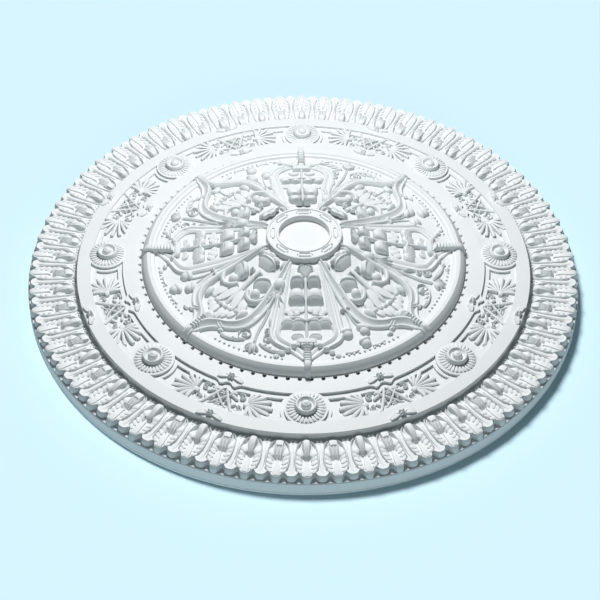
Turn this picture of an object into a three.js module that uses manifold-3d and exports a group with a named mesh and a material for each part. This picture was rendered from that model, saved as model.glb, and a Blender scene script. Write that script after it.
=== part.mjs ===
// A round moulded ceiling rose, lying on its flat back with the carved face up.
// Millimetres, +Z up, origin at the centre of the back. An angle is read in degrees
// from -Y towards +X, so a point at radius r is (r sin angle, -r cos angle).
import * as THREE from 'three';
import { mergeVertices } from 'three/addons/utils/BufferGeometryUtils.js';
import Module from 'manifold-3d';

// The turned plate: plain rim, flat frieze, raised dish and hub
const RIM_RADIUS = 750;
const RIM_TOP_RADIUS = 746;
const LEDGE_Z = 43;
const FRIEZE_RADIUS = 617;
const FRIEZE_Z = 68;
const DISH_FOOT_RADIUS = 450;
const DISH_WALL = { radius: 444, z: 80 };
const DISH_CREST = { radius: 426, z: 88 };
const FIELD_RADIUS = 405;
const FIELD_Z = 79;
const FIELD_SWEEP = 1.85;
const HUB_RADIUS = 103;
const HUB_FOOT_Z = 138;
const HUB_TOP_Z = 149;
const HUB_ROLL = 3;
const SEAT_RADIUS = 68;
const SEAT_Z = 130;
const SECTORS = 8;
const SECTOR = 360 / SECTORS;

// The lyre frames of the dish: pairs of ribs that swell from the hub and close on a strap
const DISH_TURN = 1.5;
const LYRE_HUB_HALF_WIDTH = 40;
const LYRE_BELLY = { radius: 275, halfWidth: 88 };
const LYRE_STRAP = { radius: 412, halfWidth: 8 };
const RIB_HALF_WIDTH = 9;
const RIB_HEIGHT = 14;
const RIB_ANGLE_LIMIT = 22;

// The tiers of husks inside a frame, each with a high lip towards the hub and a low toe
const TIER_LIPS = [110, 150, 192, 250, 308, 364];
const TIER_GAP = 4;
const HUSK_HEIGHT = 17;
const HUSK_TOE = 0.25;
const SPINE_HEIGHT = 10;
const HUSK_TIERS = [0.4, 1, 1, 1, 0.8];
const HUSK_SPINES = [0.9, 1, 1, 1, 1.4];
const SCROLL_TIERS = [0.8, 0.2, 0.2, 0.8, 0.6];
const SCROLL_SPINES = [0.9, 1.2, 1.2, 0.7, 1.2];

// The border of turned-over leaves round the frieze
const LEAF_COUNT = 64;
const LEAF_TIP = { radius: 744, z: 70 };
const LEAF_NOTCH = { radius: 733, z: 61 };
const LEAF_HOLLOW = { radius: 687, z: 53, sideZ: 57 };
const LEAF_NOSE = { radius: 676, z: 71, sideZ: 57 };
const LEAF_FOOT = { radius: 612, z: 47 };
const LEAF_BED_Z = 36;

// The frieze: rosettes, sunk panels, palmettes and bows
const ROSETTE_CIRCLE = 538;
const ROSETTE_RADIUS = 49;
const ROSETTE_HEIGHT = 18;
const ROSETTE_PETALS = 6;
const PETAL_SWELL = 0.05;
const PANEL_INNER = 497;
const PANEL_OUTER = 577;
const PANEL_END = 65;
const PANEL_DEPTH = 8;
const PANEL_PEAK = { rise: 11, angle: 2 };
const PALMETTE = { lobes: 5, reach: 74, squash: 0.55, opening: 230, base: 44, rise: 13 };
const KNOT = { width: 40, length: 62, height: 14, sides: 6 };
const BOW_CIRCLES = [604, 483];
const BOW = { reach: 37, height: 7 };

// The sprigs between the frames and the clasps over the edge of the dish
const TULIP_HEIGHT = 10;
const SCROLL_HALF_WIDTH = 5;
const SCROLL_HEIGHT = 10;
const CLASP_WIDTH = 17;
const CLASP_PROUD = 6;
const SINK = 6;

const wasm = await Module();
wasm.setup();

const radians = THREE.MathUtils.degToRad;

// A closed three.js geometry as a solid that can be joined and cut
function closedSolid(geometry) {
  geometry.deleteAttribute('normal');
  geometry.deleteAttribute('uv');
  const merged = mergeVertices(geometry, 1e-3);
  const corners = merged.index.array;
  const triangles = [];
  for (let i = 0; i < corners.length; i += 3) {
    const [a, b, c] = corners.slice(i, i + 3);
    if (a !== b && b !== c && c !== a) {
      triangles.push(a, b, c);
    }
  }
  return new wasm.Manifold(new wasm.Mesh({
    numProp: 3,
    vertProperties: merged.attributes.position.array,
    triVerts: Uint32Array.from(triangles),
  }));
}

// A profile of [radius, height] pairs turned about Z
function turned(profile, facets) {
  const points = profile.map(([radius, z]) => new THREE.Vector2(radius, z));
  return new THREE.LatheGeometry(points, facets).rotateX(Math.PI / 2);
}

// Every vertex of a geometry moved by a function of its position and its number
function reshaped(geometry, move) {
  const positions = geometry.attributes.position;
  const point = new THREE.Vector3();
  for (let i = 0; i < positions.count; i += 1) {
    point.fromBufferAttribute(positions, i);
    move(point, i);
    positions.setXYZ(i, point.x, point.y, point.z);
  }
  return geometry;
}

// The height of the plain dish under the carving
function fieldHeight(radius) {
  const rise = Math.max(0, FIELD_RADIUS - radius) / (FIELD_RADIUS - HUB_RADIUS);
  return FIELD_Z + (HUB_FOOT_Z - FIELD_Z) * Math.min(1, rise) ** FIELD_SWEEP;
}

// A flat carving laid on the curve of the dish
function draped(geometry) {
  return reshaped(geometry, (point) => {
    point.z += fieldHeight(Math.hypot(point.x, point.y));
  });
}

// A flat outline of [across, outward] points, drawn on the axis at angle 0 and raised
function raised(outline, height) {
  const points = outline.map(([across, outward]) => new THREE.Vector2(across, -outward));
  const shape = new THREE.Shape(points);
  const geometry = new THREE.ExtrudeGeometry(shape, { depth: height + SINK, bevelEnabled: false });
  return geometry.translate(0, 0, -SINK);
}

// A ridge with a sharp crest that follows [across, outward] points
function ridge(route, halfWidth, height) {
  const points = route.map(([across, outward]) => new THREE.Vector3(across, -outward, 0));
  const curve = new THREE.CatmullRomCurve3(points);
  const bar = new THREE.CylinderGeometry(1, 1, 1, 3, route.length - 1);
  return reshaped(bar, (point) => {
    const along = point.y + 0.5;
    const heading = curve.getTangent(along);
    const centre = curve.getPoint(along);
    const side = point.x * halfWidth;
    const lift = point.z > 0.5 ? height : -SINK;
    point.set(centre.x + heading.y * side, centre.y - heading.x * side, lift);
  });
}

// A low boss with a smaller flat top
function boss({ outward, width, length, height, sides }) {
  const topShare = 0.55;
  const bump = new THREE.CylinderGeometry(topShare, 1, height + SINK, sides, 1).rotateX(Math.PI / 2);
  bump.translate(0, 0, (height - SINK) / 2);
  return bump.scale(width / 2, length / 2, 1).translate(0, -outward, 0);
}

// A fan of pointed lobes that opens from the point [0, 0] along +outward
function fanOutline({ lobes, reach, squash, opening }) {
  const valleyShare = 0.75;
  const outline = [];
  for (let i = 0; i <= lobes * 2; i += 1) {
    const angle = radians(opening * (i / (lobes * 2) - 0.5));
    const share = i % 2 === 0 ? valleyShare : 1;
    const radius = reach * share * (0.62 + 0.38 * Math.cos(angle));
    outline.push([Math.sin(angle) * radius * squash, Math.cos(angle) * radius]);
  }
  return outline;
}

// A spiral of [across, outward] points that winds in towards its eye
function volute({ across, outward, reach, hand }) {
  const count = 6;
  const innerShare = 0.25;
  const route = [];
  for (let i = 0; i < count; i += 1) {
    const along = i / (count - 1);
    const angle = hand * 2 * Math.PI * along;
    const radius = reach * (1 - (1 - innerShare) * along);
    route.push([across + radius * Math.sin(angle), outward + radius * Math.cos(angle)]);
  }
  return route;
}

function mirrored(route) {
  return route.map(([across, outward]) => [-across, outward]);
}

// The turned plate, with the ribs and husks of the dish raised on its columns
function plate() {
  const rows = [
    { radius: 0, z: 0 },
    { radius: RIM_RADIUS, z: 0 },
    { radius: RIM_TOP_RADIUS, z: LEDGE_Z },
    { radius: FRIEZE_RADIUS, z: LEDGE_Z },
    { radius: FRIEZE_RADIUS, z: FRIEZE_Z },
    { radius: DISH_FOOT_RADIUS, z: FRIEZE_Z },
    DISH_WALL,
    DISH_CREST,
    { radius: FIELD_RADIUS, z: FIELD_Z },
    ...tierRows(),
    { radius: HUB_RADIUS, z: HUB_FOOT_Z },
    { radius: HUB_RADIUS - HUB_ROLL, z: HUB_TOP_Z },
    { radius: SEAT_RADIUS + HUB_ROLL, z: HUB_TOP_Z },
    { radius: SEAT_RADIUS, z: SEAT_Z },
    { radius: 0, z: SEAT_Z },
  ];
  const halfColumns = 5;
  const columns = SECTORS * halfColumns * 2;
  const body = turned(rows.map(({ radius, z }) => [radius, z]), columns);
  reshaped(body, (point, i) => {
    const row = rows[i % rows.length];
    const column = Math.floor(i / rows.length) % columns;
    const sector = Math.round(column / (halfColumns * 2));
    const step = column - sector * halfColumns * 2;
    const { angle, lift } = dishColumn(row, Math.abs(step), halfColumns, sector % 2 === 0);
    const dishTurn = row.radius > FIELD_RADIUS ? 0 : DISH_TURN;
    const turn = radians(sector * SECTOR + Math.sign(step) * angle + dishTurn);
    point.set(row.radius * Math.sin(turn), -row.radius * Math.cos(turn), row.z + lift);
  });
  return closedSolid(body);
}

// Each tier of husks has a row at its toe and a row at its lip, listed from the edge to the hub
function tierRows() {
  const rows = [];
  for (let tier = TIER_LIPS.length - 2; tier >= 0; tier -= 1) {
    const toe = TIER_LIPS[tier + 1] - TIER_GAP;
    rows.push({ radius: toe, z: fieldHeight(toe), tier, share: HUSK_TOE });
    rows.push({ radius: TIER_LIPS[tier], z: fieldHeight(TIER_LIPS[tier]), tier, share: 1 });
  }
  return rows;
}

// Where a column crosses a row: the spine, a husk, the rib's inner foot, its crest, its outer foot
// or the middle of the field, as an angle from the sector's axis and a lift above the plain dish
function dishColumn(row, step, halfColumns, hasHusks) {
  if (row.tier === undefined) {
    return { angle: SECTOR / 2 * step / halfColumns, lift: 0 };
  }
  const offset = lyreHalfWidth(row.radius);
  const reach = (across) => THREE.MathUtils.radToDeg(Math.asin(across / row.radius));
  const innerFoot = Math.max(offset - RIB_HALF_WIDTH, offset / 2);
  const husk = (hasHusks ? HUSK_TIERS : SCROLL_TIERS)[row.tier];
  const spine = (hasHusks ? HUSK_SPINES : SCROLL_SPINES)[row.tier];
  const columns = [
    { angle: 0, lift: SPINE_HEIGHT * spine },
    { angle: reach(innerFoot / 2), lift: HUSK_HEIGHT * husk * row.share },
    { angle: reach(innerFoot), lift: 0 },
    { angle: Math.min(reach(offset), RIB_ANGLE_LIMIT - 1), lift: RIB_HEIGHT },
    { angle: Math.min(reach(offset + RIB_HALF_WIDTH), RIB_ANGLE_LIMIT), lift: 0 },
    { angle: SECTOR / 2, lift: 0 },
  ];
  return columns[step];
}

// Half the width between the two ribs of a frame at a radius
function lyreHalfWidth(radius) {
  const belly = LYRE_BELLY.halfWidth;
  if (radius < LYRE_BELLY.radius) {
    const along = (radius - HUB_RADIUS) / (LYRE_BELLY.radius - HUB_RADIUS);
    const swell = Math.sin(Math.PI / 2 * Math.max(0, along)) ** 1.3;
    return LYRE_HUB_HALF_WIDTH + (belly - LYRE_HUB_HALF_WIDTH) * swell;
  }
  const along = (radius - LYRE_BELLY.radius) / (LYRE_STRAP.radius - LYRE_BELLY.radius);
  const close = Math.cos(Math.PI / 2 * Math.min(1, along)) ** 1.7;
  return LYRE_STRAP.halfWidth + (belly - LYRE_STRAP.halfWidth) * close;
}

// The leaf border: every leaf has a nose that turns over and a foot that ends in a tip
function leafBorder() {
  const columns = LEAF_COUNT * 2;
  const section = [
    () => [LEAF_FOOT.radius, LEAF_BED_Z],
    (isLeaf) => [isLeaf ? LEAF_TIP.radius : LEAF_NOTCH.radius, LEAF_BED_Z],
    (isLeaf) => (isLeaf ? [LEAF_TIP.radius, LEAF_TIP.z] : [LEAF_NOTCH.radius, LEAF_NOTCH.z]),
    (isLeaf) => [LEAF_HOLLOW.radius, isLeaf ? LEAF_HOLLOW.z : LEAF_HOLLOW.sideZ],
    (isLeaf) => [LEAF_NOSE.radius, isLeaf ? LEAF_NOSE.z : LEAF_NOSE.sideZ],
    () => [LEAF_FOOT.radius, LEAF_FOOT.z],
    () => [LEAF_FOOT.radius, LEAF_BED_Z],
  ];
  const ring = turned(section.map((station) => station(true)), columns);
  reshaped(ring, (point, i) => {
    const column = Math.floor(i / section.length) % columns;
    const [radius, z] = section[i % section.length](column % 2 === 0);
    const angle = 2 * Math.PI * column / columns;
    point.set(radius * Math.sin(angle), -radius * Math.cos(angle), z);
  });
  return closedSolid(ring);
}

// One rosette: a ring of petals, a hollow and a domed heart
function rosette() {
  const flower = turned([
    [0, -SINK],
    [ROSETTE_RADIUS, -SINK],
    [ROSETTE_RADIUS * 0.8, ROSETTE_HEIGHT * 0.8],
    [ROSETTE_RADIUS * 0.45, ROSETTE_HEIGHT * 0.3],
    [ROSETTE_RADIUS * 0.22, ROSETTE_HEIGHT],
    [0, ROSETTE_HEIGHT],
  ], ROSETTE_PETALS * 2);
  reshaped(flower, (point) => {
    const isRim = Math.hypot(point.x, point.y) > ROSETTE_RADIUS / 2;
    const petal = Math.cos(Math.atan2(point.x, -point.y) * ROSETTE_PETALS);
    const swell = isRim ? 1 + PETAL_SWELL * petal : 1;
    point.set(point.x * swell, point.y * swell, point.z);
  });
  return closedSolid(flower.translate(0, -ROSETTE_CIRCLE, FRIEZE_Z));
}

// The sunk panel between two rosettes: its ends curve round them, its inner edge has a small peak
function panelCut() {
  const half = radians(SECTOR / 2);
  const polar = (radius, angle) => [radius * Math.sin(angle), radius * Math.cos(angle)];
  const reach = (radius) => half - Math.acos(
    (radius ** 2 + ROSETTE_CIRCLE ** 2 - PANEL_END ** 2) / (2 * radius * ROSETTE_CIRCLE),
  );
  const peak = radians(PANEL_PEAK.angle);
  const halfOutline = [
    polar(PANEL_INNER, 0),
    polar(PANEL_INNER + PANEL_PEAK.rise, peak),
    polar(PANEL_INNER, peak * 2),
    polar(PANEL_INNER, reach(PANEL_INNER)),
    polar(ROSETTE_CIRCLE - PANEL_END / 3, reach(ROSETTE_CIRCLE - PANEL_END / 3)),
    polar(ROSETTE_CIRCLE + PANEL_END / 3, reach(ROSETTE_CIRCLE + PANEL_END / 3)),
    polar(PANEL_OUTER, reach(PANEL_OUTER)),
    polar(PANEL_OUTER, reach(PANEL_OUTER) / 2),
    polar(PANEL_OUTER, 0),
  ];
  const outline = [...halfOutline, ...mirrored(halfOutline.slice(1, -1).reverse())];
  const block = raised(outline, PANEL_DEPTH).translate(0, 0, FRIEZE_Z - PANEL_DEPTH + SINK);
  return closedSolid(block.rotateZ(half));
}

// The carving of one panel: two palmettes that point at the rosettes, a knot between and two bows
function panelCarving() {
  const floor = FRIEZE_Z - PANEL_DEPTH;
  const pieces = [boss({ outward: ROSETTE_CIRCLE, ...KNOT }).translate(0, 0, floor)];
  const lean = radians(90 - SECTOR / 6);
  for (const hand of [-1, 1]) {
    const palmette = raised(fanOutline(PALMETTE), PALMETTE.rise).rotateZ(hand * lean);
    pieces.push(palmette.translate(hand * PALMETTE.base, -ROSETTE_CIRCLE, floor));
  }
  const wing = [[0, -5], [BOW.reach, -10], [BOW.reach, 4], [0, 12]];
  for (const outward of BOW_CIRCLES) {
    const outline = [...wing, ...mirrored(wing.slice(1, -1).reverse())];
    pieces.push(raised(outline, BOW.height).translate(0, -outward, FRIEZE_Z));
  }
  return pieces.map((piece) => closedSolid(piece.rotateZ(radians(SECTOR / 2))));
}

// A clasp that holds the strap of a frame down over the edge of the dish
function clasp() {
  const side = new THREE.Shape([
    new THREE.Vector2(FIELD_RADIUS - 40, FIELD_Z - SINK),
    new THREE.Vector2(DISH_FOOT_RADIUS + CLASP_PROUD, FRIEZE_Z - SINK),
    new THREE.Vector2(DISH_WALL.radius + CLASP_PROUD, DISH_WALL.z + CLASP_PROUD / 2),
    new THREE.Vector2(DISH_CREST.radius, DISH_CREST.z + CLASP_PROUD),
    new THREE.Vector2(FIELD_RADIUS - 40, FIELD_Z + RIB_HEIGHT),
  ]);
  const bar = new THREE.ExtrudeGeometry(side, { depth: CLASP_WIDTH, bevelEnabled: false });
  return closedSolid(bar.translate(0, 0, -CLASP_WIDTH / 2).rotateX(Math.PI / 2).rotateZ(-Math.PI / 2));
}

// Two volutes back to back in the middle of a scroll frame
function scrollPair() {
  const route = volute({ across: 29, outward: 208, reach: 30, hand: 1 });
  return [route, mirrored(route)].map((curl) => ridge(curl, SCROLL_HALF_WIDTH, SCROLL_HEIGHT * 1.6));
}

// The field after a husk frame: three tulip buds on a sprig
function tulipField() {
  const half = [[0, -18], [13, -5], [15, 18], [0, 8]];
  const tulip = [...half, ...mirrored(half.slice(1, -1).reverse())];
  const buds = [[-20, 348, -12], [20, 346, 14], [3, 388, 2]];
  return buds.map(([across, outward, turn]) => (
    raised(tulip, TULIP_HEIGHT).rotateZ(radians(turn)).translate(across, -outward, 0)
  ));
}

// The field before a husk frame: a bud, a fan leaf and a flower
function rinceauField() {
  const leaf = { lobes: 4, reach: 36, squash: 0.9, opening: 200 };
  const flower = { lobes: 4, reach: 44, squash: 1.3, opening: 220 };
  return [
    boss({ outward: 186, width: 20, length: 40, height: TULIP_HEIGHT, sides: 6 }),
    raised(fanOutline(leaf), TULIP_HEIGHT).translate(6, -236, 0),
    raised(fanOutline(flower), TULIP_HEIGHT).translate(4, -338, 0),
  ];
}

// Copies of some solids turned about Z
function around(solids, angles) {
  return angles.flatMap((angle) => solids.map((solid) => solid.rotate([0, 0, angle])));
}

const everySector = Array.from({ length: SECTORS }, (_, k) => SECTOR * k);
const everyFrame = everySector.map((angle) => angle + DISH_TURN);
const everyOther = (angle) => everyFrame.filter((_, k) => k % 2 === 0).map((start) => start + angle);
const onDish = (pieces) => pieces.map((piece) => closedSolid(draped(piece)));

let rose = plate().add(leafBorder());
for (const cut of around([panelCut()], everySector)) {
  rose = rose.subtract(cut);
}

const carving = [
  ...around([rosette()], everySector),
  ...around(panelCarving(), everySector),
  ...around([clasp()], everyFrame),
  ...around(onDish(scrollPair()), everyOther(SECTOR)),
  ...around(onDish(tulipField()), everyOther(SECTOR / 2)),
  ...around(onDish(rinceauField()), everyOther(SECTOR * 1.5)),
];
for (const piece of carving) {
  rose = rose.add(piece);
}

const mesh = rose.getMesh();
const geometry = new THREE.BufferGeometry();
geometry.setAttribute('position', new THREE.BufferAttribute(mesh.vertProperties, 3));
geometry.setIndex(new THREE.BufferAttribute(mesh.triVerts, 1));
geometry.computeVertexNormals();

const primedWhite = new THREE.MeshStandardMaterial({ color: 0xf0f2f3, roughness: 0.6, metalness: 0 });
const ceilingRose = new THREE.Mesh(geometry, primedWhite);
ceilingRose.name = 'ceiling_rose';

const part = new THREE.Group();
part.add(ceilingRose);

export default part;
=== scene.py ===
import math

import bmesh
import bpy
from mathutils import Matrix, Vector


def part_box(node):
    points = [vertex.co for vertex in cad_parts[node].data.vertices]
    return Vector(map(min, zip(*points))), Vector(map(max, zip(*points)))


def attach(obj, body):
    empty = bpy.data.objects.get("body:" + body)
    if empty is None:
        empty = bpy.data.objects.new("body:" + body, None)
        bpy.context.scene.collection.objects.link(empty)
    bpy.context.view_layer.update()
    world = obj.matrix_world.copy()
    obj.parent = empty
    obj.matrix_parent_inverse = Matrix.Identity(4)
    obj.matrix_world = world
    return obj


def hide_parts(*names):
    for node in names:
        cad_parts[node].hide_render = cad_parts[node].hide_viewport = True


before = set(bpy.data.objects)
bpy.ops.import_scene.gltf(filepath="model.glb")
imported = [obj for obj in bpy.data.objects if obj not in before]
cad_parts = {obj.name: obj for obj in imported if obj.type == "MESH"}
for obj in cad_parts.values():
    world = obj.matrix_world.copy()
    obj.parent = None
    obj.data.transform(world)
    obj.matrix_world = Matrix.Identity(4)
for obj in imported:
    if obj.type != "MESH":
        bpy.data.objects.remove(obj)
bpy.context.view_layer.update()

# The studio: a pale blue paper floor with an even light of its own, a soft lamp over the far half of
# the rose, a weak fill low in front, and a long lens that looks down at a little under 45 degrees.
low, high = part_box("ceiling_rose")
RADIUS = (high.x - low.x) / 2
CAMERA_DISTANCE = 4.221 * RADIUS
CAMERA_ELEVATION = math.radians(44.32)
CAMERA_SWING = math.radians(-1.13)
CAMERA_ROLL = math.radians(0.83)
CAMERA_LENS, CAMERA_SENSOR = 68.1, 36.0
CAMERA_SHIFT = (-0.006, -0.0472)
FLOOR_HALF, FLOOR_HEX, FLOOR_ROUGHNESS = 6.0, "C9E6F0", 0.9
FLOOR_LIGHT_FROM, FLOOR_LIGHT_STRENGTH = (-0.75, 0.5, 2.0), 3.68
KEY_AT, KEY_RADIUS, KEY_POWER = (-0.08, 0.42, 1.22), 0.16, 51.5
FILL_FROM, FILL_STRENGTH, FILL_HEX = (0.1, -1.0, 0.28), 0.5, "ECF5F8"
LIGHT_SPREAD = math.radians(16)
SKY_HEX, SKY_STRENGTH = "D0EAF2", 0.07


def linear(hex_colour):
    """An sRGB hex colour as linear red, green, blue and alpha."""
    channels = [int(hex_colour[i:i + 2], 16) / 255 for i in (0, 2, 4)]
    return [c / 12.92 if c <= 0.04045 else ((c + 0.055) / 1.055) ** 2.4 for c in channels] + [1.0]


def node(tree, kind, links=(), **settings):
    """Adds one node, sets its fields and sockets, and links sockets named in (socket, source) pairs."""
    added = tree.nodes.new(kind)
    for name, value in settings.items():
        if hasattr(added, name):
            setattr(added, name, value)
        else:
            added.inputs[name.replace("_", " ")].default_value = value
    for socket, source in links:
        tree.links.new(source, added.inputs[socket])
    return added


def clear_tree(owner):
    """An owner's node tree, emptied."""
    owner.use_nodes = True
    owner.node_tree.nodes.clear()
    return owner.node_tree


scene = bpy.context.scene
scene.view_settings.view_transform = "Standard"

camera = bpy.data.objects.new("camera", bpy.data.cameras.new("camera"))
camera.data.lens = CAMERA_LENS
camera.data.sensor_width = CAMERA_SENSOR
camera.data.shift_x, camera.data.shift_y = CAMERA_SHIFT
away = Vector((
    math.sin(CAMERA_SWING) * math.cos(CAMERA_ELEVATION),
    -math.cos(CAMERA_SWING) * math.cos(CAMERA_ELEVATION),
    math.sin(CAMERA_ELEVATION),
))
aim = away.to_track_quat("Z", "Y").to_matrix().to_4x4()
roll = Matrix.Rotation(CAMERA_ROLL, 4, "Z")
camera.matrix_world = Matrix.Translation(away * CAMERA_DISTANCE) @ aim @ roll
scene.collection.objects.link(camera)
scene.camera = camera


def light(name, kind, strength, place=None, facing=None):
    """A lamp at a place, or one far away that shines from a direction."""
    lamp = bpy.data.objects.new(name, bpy.data.lights.new(name, kind))
    lamp.data.energy = strength
    if facing:
        lamp.data.angle = LIGHT_SPREAD
        lamp.matrix_world = Vector(facing).to_track_quat("Z", "Y").to_matrix().to_4x4()
    else:
        lamp.data.shadow_soft_size = KEY_RADIUS
        lamp.location = place
    scene.collection.objects.link(lamp)
    return lamp


# The floor's light falls on the floor alone, and the lamp's on the rose alone, at one strength all over.
lit_floor = bpy.data.collections.new("lit_floor")
lit_rose = bpy.data.collections.new("lit_rose")
floor_light = light("floor_light", "SUN", FLOOR_LIGHT_STRENGTH, facing=FLOOR_LIGHT_FROM)
floor_light.light_linking.receiver_collection = lit_floor
light("fill_light", "SUN", FILL_STRENGTH, facing=FILL_FROM).data.color = linear(FILL_HEX)[:3]
key = light("key_light", "POINT", KEY_POWER, place=KEY_AT)
key.light_linking.receiver_collection = lit_rose
glow = clear_tree(key.data)
even = node(glow, "ShaderNodeLightFalloff", Strength=1.0)
lamp_glow = node(glow, "ShaderNodeEmission", [("Strength", even.outputs["Constant"])])
node(glow, "ShaderNodeOutputLight", [("Surface", lamp_glow.outputs[0])])

world = bpy.data.worlds.new("studio")
scene.world = world
sky = clear_tree(world)
backdrop = node(sky, "ShaderNodeBackground", Color=linear(SKY_HEX), Strength=SKY_STRENGTH)
node(sky, "ShaderNodeOutputWorld", [("Surface", backdrop.outputs[0])])

# Smooth, matt, unprinted paper.
paper = bpy.data.materials.new("floor_paper")
tree = clear_tree(paper)
surface = node(tree, "ShaderNodeBsdfPrincipled", Base_Color=linear(FLOOR_HEX), Roughness=FLOOR_ROUGHNESS)
node(tree, "ShaderNodeOutputMaterial", [("Surface", surface.outputs[0])])

bm = bmesh.new()
bmesh.ops.create_grid(bm, x_segments=1, y_segments=1, size=FLOOR_HALF)
floor = bpy.data.objects.new("floor", bpy.data.meshes.new("floor"))
bm.to_mesh(floor.data)
bm.free()
floor.data.materials.append(paper)
scene.collection.objects.link(floor)
lit_floor.objects.link(floor)

# The ground of the casting: a turned plate with a plain rim, a bed for the leaf border, a flat frieze
# with eight sunk panels, a row of pits, and a dish that sweeps up to the hub and its canopy seat.
# It is rigid polyurethane foam, cast in one mould with all its carving and primed white.
MM = 0.001
SECTORS = 8
SECTOR = 2 * math.pi / SECTORS
TURNED_STEPS = 24 * SECTORS
DISH_TURN = math.radians(0.7)
LEDGE_Z = 50.0
FRIEZE_RADIUS, FRIEZE_Z, FRIEZE_EASE = 617.0, 68.0, 0.8
DISH_FOOT = 443.0
FIELD_RADIUS, FIELD_Z, FIELD_SWEEP, FIELD_STEPS = 405.0, 79.0, 1.85, 50
HUB_RADIUS, HUB_FOOT_Z, HUB_TOP_Z, HUB_SINK_Z = 103.0, 138.0, 149.0, 145.6
HUB_COVE_RADIUS, HUB_COVE_WIDTH, HUB_COVE_DEPTH = 105.0, 10.0, 7.0
SEAT_RADIUS, SEAT_Z = 68.0, 130.0
ROSETTE_CIRCLE = 538.0


def field_height(radius):
    """The height of the plain dish under the carving, with the cove that runs round the hub."""
    rise = min(1.0, max(0.0, FIELD_RADIUS - radius) / (FIELD_RADIUS - HUB_RADIUS))
    cove = HUB_COVE_DEPTH * math.exp(-((radius - HUB_COVE_RADIUS) / HUB_COVE_WIDTH) ** 2)
    return FIELD_Z + (HUB_FOOT_Z - FIELD_Z) * rise ** FIELD_SWEEP - cove


def polar(radius, angle, z=0.0):
    """A point at an angle from -Y towards +X."""
    return Vector((radius * math.sin(angle), -radius * math.cos(angle), z))


def turn_profile(bm, profile, steps=TURNED_STEPS):
    """Spins a line of (radius, height) points round the rose's axis."""
    points = [bm.verts.new((0.0, -radius, z)) for radius, z in profile]
    lines = [bm.edges.new(pair) for pair in zip(points, points[1:])]
    bmesh.ops.spin(bm, geom=points + lines, axis=(0, 0, 1), cent=(0, 0, 0), dvec=(0, 0, 0),
                   angle=2 * math.pi, steps=steps, use_merge=True)


def closed_loop(bm, points):
    """A ring of edges through some points."""
    corners = [bm.verts.new(point) for point in points]
    return [bm.edges.new(pair) for pair in zip(corners, corners[1:] + corners[:1])]


def sink(bm, outlines):
    """A hollow that goes down through its outlines to a flat floor; gives back its top edge."""
    loops = [closed_loop(bm, points) for points in outlines]
    for upper, lower in zip(loops, loops[1:]):
        bmesh.ops.bridge_loops(bm, edges=upper + lower)
    bmesh.ops.triangle_fill(bm, edges=loops[-1], use_beauty=True)
    return loops[0]


# White primer over moulded foam: matt, with a fine grain, and a little darker where the coat is thin.
# The real grain is too fine to show, so it is drawn coarser.
PRIMER_HEX, PRIMER_THIN_HEX = "DADDDE", "D5D9DA"
PRIMER_ROUGHNESS, PRIMER_IOR = 0.62, 1.46
PRIMER_GRAIN_MM, PRIMER_CLOUD_MM = 1.6, 60.0
PRIMER_BUMP, PRIMER_BUMP_DEPTH = 0.12, 0.4 * MM
# The colour sockets of a Mix node share their names with its other sockets, so they go by number.
MIX_FIRST_COLOUR, MIX_SECOND_COLOUR, MIX_COLOUR_OUT = 6, 7, 2
primer = bpy.data.materials.new("primed_polyurethane")
tree = clear_tree(primer)
place = node(tree, "ShaderNodeTexCoord")
cloud = node(tree, "ShaderNodeTexNoise", [("Vector", place.outputs["Object"])],
             Scale=1 / (PRIMER_CLOUD_MM * MM), Detail=3.0)
tint = node(tree, "ShaderNodeMix", [("Factor", cloud.outputs["Fac"])], data_type="RGBA")
tint.inputs[MIX_FIRST_COLOUR].default_value = linear(PRIMER_THIN_HEX)
tint.inputs[MIX_SECOND_COLOUR].default_value = linear(PRIMER_HEX)
grain = node(tree, "ShaderNodeTexNoise", [("Vector", place.outputs["Object"])],
             Scale=1 / (PRIMER_GRAIN_MM * MM), Detail=2.0)
bump = node(tree, "ShaderNodeBump", [("Height", grain.outputs["Fac"])],
            Strength=PRIMER_BUMP, Distance=PRIMER_BUMP_DEPTH)
surface = node(tree, "ShaderNodeBsdfPrincipled",
               [("Base Color", tint.outputs[MIX_COLOUR_OUT]), ("Normal", bump.outputs["Normal"])],
               Roughness=PRIMER_ROUGHNESS, IOR=PRIMER_IOR)
node(tree, "ShaderNodeOutputMaterial", [("Surface", surface.outputs[0])])

WELD_GAP = 0.02
GROUND_CREASE, CARVING_CREASE = math.radians(30), math.radians(38)


def cast(bm, name, crease=CARVING_CREASE):
    """Makes a millimetre mesh a finished piece of the casting, with creases past an angle left sharp."""
    bmesh.ops.remove_doubles(bm, verts=bm.verts, dist=WELD_GAP)
    bmesh.ops.recalc_face_normals(bm, faces=bm.faces)
    bmesh.ops.scale(bm, vec=(MM, MM, MM), verts=bm.verts)
    mesh = bpy.data.meshes.new(name)
    bm.to_mesh(mesh)
    bm.free()
    mesh.shade_smooth()
    mesh.set_sharp_from_angle(angle=crease)
    mesh.materials.append(primer)
    piece = bpy.data.objects.new(name, mesh)
    scene.collection.objects.link(piece)
    lit_rose.objects.link(piece)
    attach(piece, "root")
    return piece


PANEL_STEPS = (
    {"inner": 494.0, "outer": 580.0, "end": 54.0},
    {"inner": 508.0, "outer": 565.0, "end": 63.0},
)
PANEL_STEP_DEPTH = 7.0
PANEL_TREAD_Z, PANEL_FLOOR_Z = FRIEZE_Z - PANEL_STEP_DEPTH, FRIEZE_Z - 2 * PANEL_STEP_DEPTH
PANEL_LOBE = {"offset": 18.0, "half_width": 9.0, "rise": 11.0}
INNER_STEPS, END_STEPS, OUTER_STEPS = 24, 12, 16


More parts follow.
